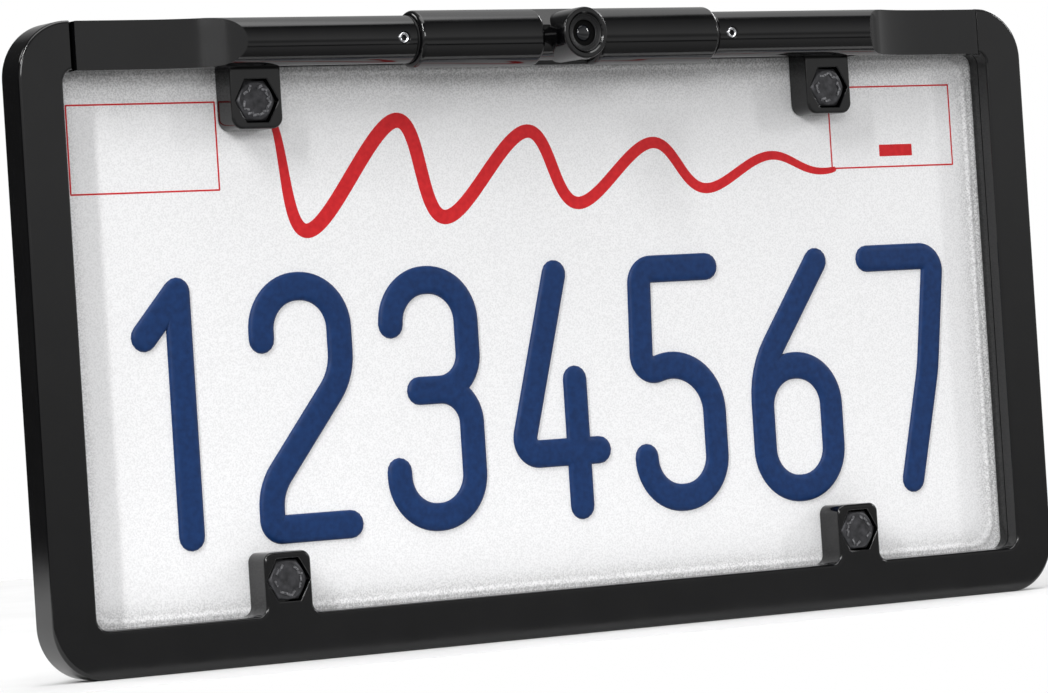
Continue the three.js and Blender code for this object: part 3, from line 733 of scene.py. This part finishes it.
def figure(name, strokes, x, base, width, profile):
    """A figure's strokes joined in one body, with the middle of its field at x."""
    body = None
    for corners in strokes:
        middle = smoothed_path([(x + cx - FIGURE_W / 2, FIGURE_BASE + cz, r) for cx, cz, r in corners])
        made = stroke(name, middle, lambda share: width, base, profile)
        body = join(body, made) if body else made
    return body


def plate_figures():
    raised = [(0.0, -0.04)] + STROKE_PROFILE
    for mark, centre in zip("1234567", FIGURE_CENTRES):
        made = figure("plate_figure_" + mark, FIGURES[mark], centre, PLATE_FACE, STROKE, raised)
        dressed(made, blue_ink, "frame", "plate_blue", sharp=50)


def pressed_back(sheet):
    """Sinks the back of the sheet behind each figure, as the press leaves it."""
    sunk = [(0.0, -0.3), (0.0, 0.0), (0.35, 0.3), (0.9, 0.5), (1.6, 0.6)]
    for mark, centre in zip("1234567", FIGURE_CENTRES):
        cut(sheet, figure("pressed", FIGURES[mark], centre, 0.0, STROKE - 1.6, sunk))


plate = licence_plate()
pressed_back(plate)
dressed(plate, sheeting, "frame", "plate_white", "licence_plate")
plate_figures()

INK = [(0.0, -0.02), (0.0, 0.03), (0.03, 0.05)]


def ink_line(name, corners, width=0.42):
    """A printed line round a closed set of corners."""
    def outline(offset):
        return grown(rounded_corners([(x, z, 0.3) for x, z in corners]), offset)

    low, high = PLATE_FACE + 0.02, PLATE_FACE - 0.04
    return stacked(name, outline, [(low, 0), (high, 0), (high, -width), (low, -width)], ring_loop=True)


WAVE_START, WAVE_LENGTH, WAVE_MIDDLE, WAVE_FALL, WAVE_SLANT, WAVE_TURNS = -88, 183, 42.5, 3.5, 0.3, 4.5


def wave_path():
    """A slanted wave with a long tail to the right, in place of printed words."""
    made = []
    steps = 260
    for i in range(steps + 1):
        share = i / steps
        swing = 15.5 * (1 - share) ** 0.8 + 0.6
        rise = cos(2 * pi * WAVE_TURNS * share)
        x = WAVE_START + WAVE_LENGTH * share + WAVE_SLANT * swing * rise
        made.append((x, WAVE_MIDDLE - WAVE_FALL * share + swing * rise))
    return made


def wave_width(share):
    """A pen's width along the wave: it swells from the start and thins to the tail."""
    return 1.4 + 2.9 * sin(pi * min(1, 6 * share) / 2) * (1 - share) ** 0.5


for name, left, right in (("plate_box_left", -138.8, -96.6), ("plate_box_right", 94.0, 135.9)):
    box_corners = [(left, 38.4), (right, 38.4), (right, 61.0), (left, 61.0)]
    dressed(ink_line(name, box_corners), red_ink, "frame", "plate_red", sharp=50)
bar = slab(
    "plate_bar", lambda o: rounded_rectangle(11.2, 3.2, 0.15, 116.2, 43.1, o), PLATE_FACE + 0.02, PLATE_FACE - 0.05,
)
dressed(bar, red_ink, "frame", "plate_red", sharp=50)
wave = stroke("plate_wave", wave_path(), wave_width, PLATE_FACE, INK)
dressed(wave, red_ink, "frame", "plate_red", sharp=50)

# ---- Plate bolts ----

TOP_R = 4.75


def plate_bolt(name, x, z, face):
    """An M6 hexagon head with a chamfered top on a threaded shank."""
    top = face + RECESS
    under = top + HEAD - 0.1
    facets = 96
    angles = [2 * pi * i / facets for i in range(facets)]

    def ring(radius_at, y_at):
        return [(x + radius_at(a) * cos(a), y_at(a), z + radius_at(a) * sin(a)) for a in angles]

    def hexagonal(flats):
        return lambda a: flats / 2 / cos(a % (pi / 3) - pi / 6)

    middle = [(TOP_R * 0.9, top + 0.05), (TOP_R * 0.96, top + 0.06), (TOP_R, top + 0.12)]
    rings = [ring(lambda a: r, lambda a: y) for r, y in [(TOP_R * 0.9 * 0.96, top + 0.05)] + middle]
    for flats, drop in ((BOLT_FLATS - 0.3, 0.0), (BOLT_FLATS, 0.14)):
        radius_at = hexagonal(flats)
        rings.append(ring(radius_at, lambda a: top + 0.15 + drop + 0.5 * (radius_at(a) - TOP_R)))
    for flats, y in ((BOLT_FLATS, under - 0.15), (BOLT_FLATS - 0.3, under)):
        rings.append(ring(hexagonal(flats), lambda a: y))
    return join(loft(name, rings), thread(x, z, under - 0.5, under + SHANK))


def thread(x, z, start, end):
    """A V thread: each ring of points follows the helix, and the free end runs out."""
    pitch, depth, run_out = 1.0, 0.55, 1.2
    facets, per_pitch = 40, 6
    rows = int((end - start) / pitch * per_pitch)
    rings = []
    for i in range(rows + 1):
        y = start + (end - start) * i / rows
        ease = min(1, max(0, (end - y) / run_out))
        ring = []
        for j in range(facets):
            turn = (y - start) / pitch + j / facets
            valley = abs((turn % 1) * 2 - 1)
            r = SHANK_R - depth * max(valley, 1 - ease)
            angle = 2 * pi * j / facets
            ring.append((x + r * cos(angle), y, z + r * sin(angle)))
        rings.append(ring)
    return loft("thread", rings)


def new_tree(name, sizes, count, seed=None):
    """A tree with float inputs for sizes in metres, a count, perhaps a seed, and the finish of what it makes."""
    tree = bpy.data.node_groups.new(name, "GeometryNodeTree")
    face = tree.interface
    face.new_socket("Geometry", in_out="INPUT", socket_type="NodeSocketGeometry")
    for label, size in sizes.items():
        face.new_socket(label, in_out="INPUT", socket_type="NodeSocketFloat").default_value = size
    for label, whole in (("Count", count), ("Seed", seed)):
        if whole is not None:
            face.new_socket(label, in_out="INPUT", socket_type="NodeSocketInt").default_value = whole
    face.new_socket("Finish", in_out="INPUT", socket_type="NodeSocketMaterial")
    face.new_socket("Geometry", in_out="OUTPUT", socket_type="NodeSocketGeometry")
    return tree, add_node(tree, "NodeGroupInput").outputs


def end_tree(tree, given, geometry):
    """Sets the finish and sends the geometry out."""
    finish = output(tree, "GeometryNodeSetMaterial", {"Geometry": geometry, "Material": given["Finish"]})
    add_node(tree, "NodeGroupOutput", {0: finish})
    return tree


def stamped_marks_tree():
    """Short raised bars in a ring, as a bolt's head carries."""
    sizes = {"Ring Radius": 0.0036, "Bar Length": 0.0017, "Bar Width": 0.0006, "Bar Height": 0.0004}
    tree, given = new_tree("stamped_marks", sizes, count=14, seed=4)
    ring = output(tree, "GeometryNodeMeshCircle", {"Vertices": given["Count"], "Radius": given["Ring Radius"]})
    gone = add_node(tree, "FunctionNodeRandomValue", {"Probability": 0.25, "Seed": given["Seed"]}, data_type="BOOLEAN")
    places = output(tree, "GeometryNodeDeleteGeometry", {"Geometry": ring, "Selection": gone.outputs[3]})
    widths = [given["Bar " + side] for side in ("Width", "Length", "Height")]
    size = output(tree, "ShaderNodeCombineXYZ", dict(enumerate(widths)))
    bar = output(tree, "GeometryNodeMeshCube", {"Size": size})
    place = output(tree, "GeometryNodeInputPosition")
    radial = output(tree, "FunctionNodeAlignRotationToVector", {"Vector": place}, axis="X")
    twist = add_node(tree, "FunctionNodeRandomValue", {2: -0.9, 3: 0.9, "Seed": given["Seed"]}, data_type="FLOAT")
    swing = output(tree, "ShaderNodeCombineXYZ", {2: twist.outputs[1]})
    turned = output(tree, "FunctionNodeRotateRotation", {0: radial, 1: swing}, rotation_space="LOCAL")
    bars = output(tree, "GeometryNodeInstanceOnPoints", {"Points": places, "Instance": bar, "Rotation": turned})
    real = output(tree, "GeometryNodeRealizeInstances", {0: bars})
    return end_tree(tree, given, real)


def grow_by_tree(name, tree, values):
    """Runs a tree on an empty mesh and leaves its result as a plain mesh."""
    holder = new_object(name, bpy.data.meshes.new(name))
    step = holder.modifiers.new("grow", "NODES")
    step.node_group = tree
    for socket in tree.interface.items_tree:
        if socket.in_out == "INPUT" and socket.name in values:
            step[socket.identifier] = values[socket.name]
    return as_plain(holder)


marks_tree = stamped_marks_tree()
for seed, (corner, side, up) in enumerate(BOLTS):
    x, z = side * HOLE_X, up * HOLE_Z
    face = UPPER_FACE if up > 0 else FRONT_Y
    bolt = plate_bolt("plate_bolt_" + corner + "_fine", x, z, face)
    dressed(bolt, black_oxide, "frame", "bolt_black", "plate_bolt_" + corner)
    marks = grow_by_tree("bolt_marks_" + corner, marks_tree, {"Seed": seed + 3, "Count": 15, "Finish": worn_steel})
    for vertex in marks.data.vertices:
        px, py, pz = vertex.co
        vertex.co = (x * MM + px, (face + RECESS + 0.05) * MM - pz, z * MM + py)
    dressed(marks, worn_steel, "frame", "bolt_black")

# ---- Arms ----

ARM_R, ARM_START, ARM_TIP, ARM_END, ARM_BACK = 6.15, 46.75, 96.2, 139.7, -5.6
SET_SCREW_X = 50.8
FACE_RISE = 0.9


def face_rise(x):
    """How far the swept face stands in front of the frame at one X."""
    share = (ARM_END - x) / (ARM_END - ARM_TIP)
    full = FRONT_Y - (AXIS_Y - ARM_R)
    return FACE_RISE + (full - FACE_RISE) * max(0.0, share) ** 5


def arm_section(x, swept, inset):
    """Points round an arm at one X, from the middle of its back, shrunk by inset for an eased end.

    The inner part is round. The swept part has a square back and a flat face.
    """
    radius = ARM_R - inset
    face = FRONT_Y - face_rise(x) + inset if swept else AXIS_Y - radius
    back = ARM_BACK - inset
    along_back, soft_edge = 0.6, 0.3
    lower = []
    for i in range(11):
        share = i / 10
        if swept:
            way = share * (1 + along_back)
            y, z = back + (AXIS_Y - back) * max(0.0, way - along_back), -radius * min(1.0, way / along_back)
        else:
            angle = pi / 2 * share
            y, z = AXIS_Y + radius * cos(angle), -radius * sin(angle)
        lower.append((max(y, face), z))
    reach = AXIS_Y - face
    full = pi / 2 if reach >= radius - 1e-6 else asin(max(0.0, reach) / radius)
    for i in range(1, 25):
        angle = full * i / 24
        lower.append((max(AXIS_Y - radius * sin(angle), face), -radius * cos(angle)))
    half = -lower[-1][1]
    if swept and half > 0.02:
        soft = min(soft_edge, half * 0.6)
        lower += [(face, -half + soft * i / 4) for i in range(1, 5)]
    else:
        lower += [(face, -half * (1 - i / 4)) for i in range(1, 5)]
    return lower + [(y, -z) for y, z in reversed(lower)]


def arm(side):
    name = "arm_" + ("left" if side < 0 else "right")
    stations = [(ARM_START, False, 0.3), (ARM_START + 0.1, False, 0.1), (ARM_START + 0.3, False, 0.0)]
    stations += [(x, False, 0.0) for x in (60, 75, 90, ARM_TIP)]
    steps = 64
    stations += [(ARM_TIP + (ARM_END - 0.3 - ARM_TIP) * (i / steps) ** 2.0, True, 0.0) for i in range(steps + 1)]
    stations += [(ARM_END - 0.1, True, 0.08), (ARM_END, True, 0.25)]
    body = loft(name + "_fine", [
        [(side * x, y, AXIS_Z + z) for y, z in arm_section(x, swept, inset)] for x, swept, inset in stations
    ])
    bore = turned_x("bore", [(4, side * (ARM_START - 1)), (4, side * (ARM_TIP - 6))])
    duct = move(turned_x("duct", [(2, side * (ARM_TIP - 7)), (2, side * 103)], 24), 2.4)
    profile = [(1.62, AXIS_Y), (1.62, AXIS_Y - ARM_R + 0.25), (2.0, AXIS_Y - ARM_R - 0.1), (2.0, AXIS_Y - 9)]
    hole = turned_y("set_hole", profile, side * SET_SCREW_X, AXIS_Z, 40)
    threads = [turned_y("thread_hole", [(1.6, 0), (1.6, -8.8)], side * x, AXIS_Z, 24) for x in ARM_SCREW_X]
    cut(body, bore, duct, hole, *threads)
    dressed(body, gloss_enamel, "frame", "cast_gloss_black", name, sharp=35)


arm(-1)
arm(1)

# ---- Set screws ----


def set_screw(side, name):
    """A cup-point screw with a chamfered rim and a hexagon socket, lined with dark walls as painted shade."""
    x = side * SET_SCREW_X
    face = AXIS_Y - ARM_R + 0.15
    rim = face + 0.22
    tip = AXIS_Y - 3.1

    def socket(flats):
        return lambda o: hexagon(flats, x, AXIS_Z, o)

    profile = [
        (0.01, rim), (0.9, rim), (1.12, face), (1.24, face), (1.45, rim), (1.45, tip - 0.5), (0.9, tip), (0.01, tip),
    ]
    body = turned_y("set_screw_" + name + "_fine", profile, x, AXIS_Z, 40)
    cut(body, opening("socket", socket(1.5), face + 1.3, face))
    # A dark black-oxide liner in the socket: painted shade for the recess.
    walls = slab("set_screw_socket_shade_" + name, socket(1.48), face + 1.29, face + 0.24)
    cut(walls, opening("hollow", socket(1.38), face + 1.2, face))
    dressed(walls, black_oxide, "set_screw_" + name, "bolt_black")
    dressed(body, bright_steel, "set_screw_" + name, "steel", "set_screw_" + name)


set_screw(-1, "left")
set_screw(1, "right")

# ---- Camera barrel ----

BARREL_HALF, BARREL_R, RIM_FILLET, NECK_R, POCKET_HALF = 46.0, 7.4, 1.2, 6.1, 9.0
HOOD_ANGLE, HOOD_DEPTH, POCKET_FOOT = 48.0, 5.73, -104.0
HOOD_TOP = HOOD_ANGLE + degrees(acos(HOOD_DEPTH / BARREL_R))
HOOD_FOOT = HOOD_ANGLE - degrees(acos(HOOD_DEPTH / NECK_R))
BOSS_R, BOSS_FRONT, BOSS_FILLET = 6.7, -26.2, 0.5
COVER_SCREW_X = 10.2


def step_down(distance, soft):
    """0 outside an edge, 1 inside it, with a round shoulder and a tight foot. distance is inwards, in mm."""
    foot = 0.25
    if distance <= -soft:
        return 0.0
    if distance >= foot:
        return 1.0
    share = (distance + soft) / (soft + foot)
    return 1 - sqrt(max(0.0, 1 - share**2.4))


def neck_radius(bearing):
    """The section between the two sleeves: a flat hood from the top down to a thinner neck, then its foot."""
    if bearing >= HOOD_TOP:
        return BARREL_R
    if bearing > HOOD_FOOT:
        return HOOD_DEPTH / cos(radians(bearing - HOOD_ANGLE))
    above_foot = radians(bearing - POCKET_FOOT) * BARREL_R
    return BARREL_R - (BARREL_R - NECK_R) * step_down(above_foot, 0.5)


def barrel_radius(x, bearing):
    """The barrel's radius at one X, and at an angle from the front, up over the top."""
    across = step_down(POCKET_HALF - abs(x), 0.9)
    return BARREL_R - (BARREL_R - neck_radius(bearing)) * across


def rear_sector(name, inner, outer, half_length, half_angle, edge=0.0):
    """A curved plate at the back of the barrel, between two radii, with its outer edge eased."""
    steps = 32
    rings = []
    for x, eased in ((-half_length, edge), (-half_length + edge, 0.0), (half_length - edge, 0.0), (half_length, edge)):
        outline = []
        for i in range(steps + 1):
            a = radians(-half_angle + 2 * half_angle * i / steps)
            r = outer - (eased if 0 < i < steps else max(eased, edge))
            outline.append((x, AXIS_Y + r * cos(a), AXIS_Z + r * sin(a)))
        for i in range(steps, -1, -1):
            a = radians(-half_angle + 2 * half_angle * i / steps)
            outline.append((x, AXIS_Y + inner * cos(a), AXIS_Z + inner * sin(a)))
        rings.append(outline)
    return loft(name, rings)


def cover_holes(radius, end, facets):
    """Cutters for the two cover screws, from behind the barrel forwards to end."""
    places = (-COVER_SCREW_X, COVER_SCREW_X)
    return [turned_y("cover_hole", [(radius, 0), (radius, end)], x, AXIS_Z, facets) for x in places]


def barrel_housing():
    quarter = [pi / 16 * i for i in range(9)]
    places = [0.0, 3.0, 6.0, 7.5, 8.3, 8.6, 8.75, 8.85, 8.95, 9.05, 9.15, 9.25, 9.4, 9.6, 9.8, 9.95, 10.2, 20.0, 32.0]
    half = [(x, 0.0) for x in places]
    half += [(BARREL_HALF - RIM_FILLET * (1 - sin(t)), RIM_FILLET * (1 - cos(t))) for t in quarter]
    stations = [(-x, s) for x, s in half[:0:-1]] + half
    edges = [POCKET_FOOT + d for d in (-5, -4, -3, -2.1, -1.4, -0.7, 0, 0.7, 1.4, 2.1, 3, 4, 6)]
    edges += [HOOD_TOP, HOOD_FOOT, HOOD_TOP - 1.2, HOOD_FOOT + 1.2]
    angles = sorted({round(a, 2) for a in edges} | {-180 + 5 * i for i in range(72)})
    rings = []
    for x, shrunk in stations:
        ring = []
        for bearing in angles:
            r = barrel_radius(x, bearing) - shrunk
            a = radians(bearing)
            ring.append((x, AXIS_Y - r * cos(a), AXIS_Z + r * sin(a)))
        rings.append(ring)
    body = loft("barrel_housing_fine", rings)
    inner, middle = BOSS_R - BOSS_FILLET, BOSS_FRONT + BOSS_FILLET
    rim = [(inner + BOSS_FILLET * sin(t), middle - BOSS_FILLET * cos(t)) for t in quarter]
    join(body, turned_y("boss", rim + [(BOSS_R, AXIS_Y)], 0, AXIS_Z, 96))
    bores = [turned_x("bore", [(5.6, side * 12.6), (5.6, side * 47)]) for side in (-1, 1)]
    cavity = box("cavity", (-8, 8), (-16.4, 0), (AXIS_Z - 4.8, AXIS_Z + 4.8))
    seat = rear_sector("cover_seat", 6.4, 9.4, 12.2, 53.7)
    mouth = [(5.1, -24.1), (5.1, BOSS_FRONT + 0.35), (5.45, BOSS_FRONT), (5.45, BOSS_FRONT - 1)]
    recess = turned_y("recess", mouth, 0, AXIS_Z, 72)
    lens_bore = turned_y("lens_bore", [(3.65, -15.4), (3.65, -27)], 0, AXIS_Z, 64)
    duct = move(turned_x("duct", [(1.8, -13.6), (1.8, 13.6)], 24), 2.5)
    cut(body, *bores, cavity, seat, recess, lens_bore, duct, *cover_holes(0.95, AXIS_Y + 2.6, 24))
    dressed(body, gloss_enamel, "camera", "cast_gloss_black", "barrel_housing", sharp=38)


barrel_housing()

cover = rear_sector("rear_cover_fine", BARREL_R - 0.9, BARREL_R, 12.0, 52.0, 0.15)
cut(cover, *cover_holes(1.7, -10.5, 32))
dressed(cover, gloss_enamel, "camera", "cast_gloss_black", "rear_cover")

# ---- Lens ----


def ridged_cone_tree():
    """Fine turned steps down the inside of the lens shroud, which stop stray light."""
    sizes = {"Mouth Radius": 0.0046, "Throat Radius": 0.0037, "Depth": 0.0003, "Ridge": 0.00006}
    tree, given = new_tree("ridged_cone", sizes, count=6)
    line = output(tree, "GeometryNodeMeshLine", {"Count": given["Count"]}, mode="OFFSET")
    index = output(tree, "GeometryNodeInputIndex")
    share = calculated(tree, "DIVIDE", index, calculated(tree, "SUBTRACT", given["Count"], 1.0))
    offset = output(tree, "ShaderNodeCombineXYZ", {2: calculated(tree, "MULTIPLY", share, given["Depth"])})
    places = output(tree, "GeometryNodeSetPosition", {"Geometry": line, "Position": offset})
    radius = remap(tree, share, 0.0, 1.0, given["Mouth Radius"], given["Throat Radius"])
    circle_kind = "GeometryNodeCurvePrimitiveCircle"
    unit_ring = output(tree, circle_kind, {"Resolution": 64, "Radius": 1.0}, mode="RADIUS")
    rings = output(tree, "GeometryNodeInstanceOnPoints", {"Points": places, "Instance": unit_ring, "Scale": radius})
    curves = output(tree, "GeometryNodeRealizeInstances", {0: rings})
    wire = output(tree, circle_kind, {"Resolution": 8, "Radius": given["Ridge"]}, mode="RADIUS")
    tubes = output(tree, "GeometryNodeCurveToMesh", {"Curve": curves, "Profile Curve": wire})
    return end_tree(tree, given, tubes)


def lens_shroud():
    """The shallow cone round the lens, from its lip round the outside and back up the inside."""
    cone = [
        (4.72, -25.78), (4.78, -25.88), (4.9, -25.88), (4.95, -25.82), (4.95, -25.0), (3.4, -25.0), (3.4, -25.3),
        (3.55, -25.4), (4.0, -25.46), (4.06, -25.54), (4.5, -25.62),
    ]
    body = turned_y("lens_shroud_fine", cone, 0, AXIS_Z, 72, ring_loop=True)
    dressed(body, matt_anodised, "camera", "shroud_black", "lens_shroud", sharp=40)


lens_shroud()
RIDGES_Y = -25.66
ridges = grow_by_tree("shroud_ridges", ridged_cone_tree(), {"Finish": matt_anodised, "Count": 4})
for vertex in ridges.data.vertices:
    px, py, pz = vertex.co
    vertex.co = (px, RIDGES_Y * MM + pz, AXIS_Z * MM + py)
dressed(ridges, matt_anodised, "camera", "shroud_black", sharp=80)

DOME_R, DOME_FOOT, DOME_RISE, DOME_BACK = 2.05, -24.7, 0.65, -23.3
dome_angles = [pi / 2 * i / 14 for i in range(1, 15)]
dome = [(DOME_R * sin(t), DOME_FOOT - DOME_RISE * cos(t)) for t in dome_angles]
front_glass = turned_y("front_lens_fine", dome + [(DOME_R, DOME_BACK)], 0, AXIS_Z, 64)
dressed(front_glass, lens_glass, "camera", "lens_glass", "front_lens", sharp=50)

# ---- Finishes of the pieces that stay as the CAD made them ----

FINISHES = [
    (bright_steel, ["arm_screw_left_1", "arm_screw_left_2", "arm_screw_right_1", "arm_screw_right_2"]),
    (bright_steel, ["board_screw_left", "board_screw_right"]),
    (rubber, ["cable_gland", "barrel_seal_left", "barrel_seal_right", "lens_seal"]),
    (acetal, ["thrust_washer_left", "thrust_washer_right"]),
    (black_oxide, ["cover_screw_left", "cover_screw_right"]),
    (machined_steel, ["trunnion_left", "trunnion_right"]),
    (optical_black, ["lens_barrel", "lens_spacer", "lens_retaining_ring"]),
    (lens_glass, ["middle_lens", "rear_lens", "infrared_filter"]),
    (matt_anodised, ["lens_holder"]),
    (silicon, ["image_sensor"]),
    (board_mask, ["circuit_board"]),
    (nylon, ["cable_connector"]),
]
for finish, names in FINISHES:
    for name in names:
        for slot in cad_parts[name].material_slots:
            slot.material = finish

# ---- Floor ----

FLOOR_Z, FLOOR_Y = -81.12, 327.5
FLOOR_W, FLOOR_DEPTH, FLOOR_RADIUS = 1300, 745, 40
UNDERCUT, THICKNESS = 30, 0.4


def floor_ring(inset, z):
    outline = rounded_rectangle(FLOOR_W - 2 * inset, FLOOR_DEPTH - 2 * inset, FLOOR_RADIUS, 0, FLOOR_Y)
    return [(x, y, z) for x, y in outline]


# The sheet slopes back under its own edge, so that no edge shows from the front.
underside = floor_ring(UNDERCUT, FLOOR_Z - THICKNESS)
floor = loft("floor", [floor_ring(UNDERCUT, FLOOR_Z), floor_ring(0, FLOOR_Z), underside])
floor.data.materials.append(paper)
